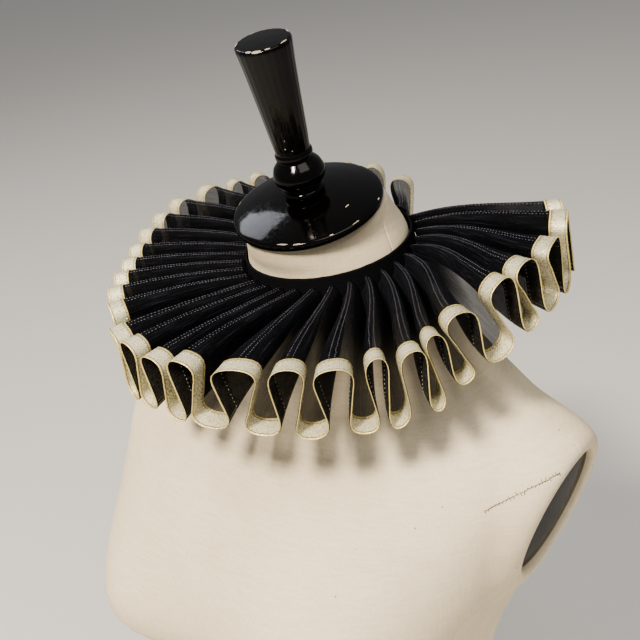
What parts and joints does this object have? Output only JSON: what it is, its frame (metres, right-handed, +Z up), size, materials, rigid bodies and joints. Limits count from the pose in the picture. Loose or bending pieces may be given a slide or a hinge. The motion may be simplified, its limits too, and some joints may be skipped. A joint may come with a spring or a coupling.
{
  "type": "ruff collar on dress form",
  "caption": "Pleated organza ruff collar with a metallic ribbon edge, standing round the neck of a limbless linen dress form with a lacquered neck cap and finial.",
  "frame": {"origin": "middle of the dress form's flat underside, below the neckband's centre", "axes": "+Z up, the form's front faces -Y, the form's left is +X"},
  "size_m": [0.384, 0.34, 0.7988],
  "materials": {
    "organza": "sheer black organza, fine sheen",
    "ribbon": "metallic champagne organza ribbon",
    "grosgrain": "matt black ribbed band",
    "enamel": "black enamel",
    "linen": "cream linen canvas, stretched",
    "lacquer": "black gloss lacquer"
  },
  "bodies": {
    "root": {"ruffle": "organza", "edge_ribbon": "ribbon", "neckband": "grosgrain", "closure_bar": "enamel", "closure_hook": "enamel", "dress_form": "linen", "armhole_plate_left": "lacquer", "armhole_plate_right": "lacquer", "neck_cap": "lacquer", "finial": "lacquer"}
  },
  "joints": []
}
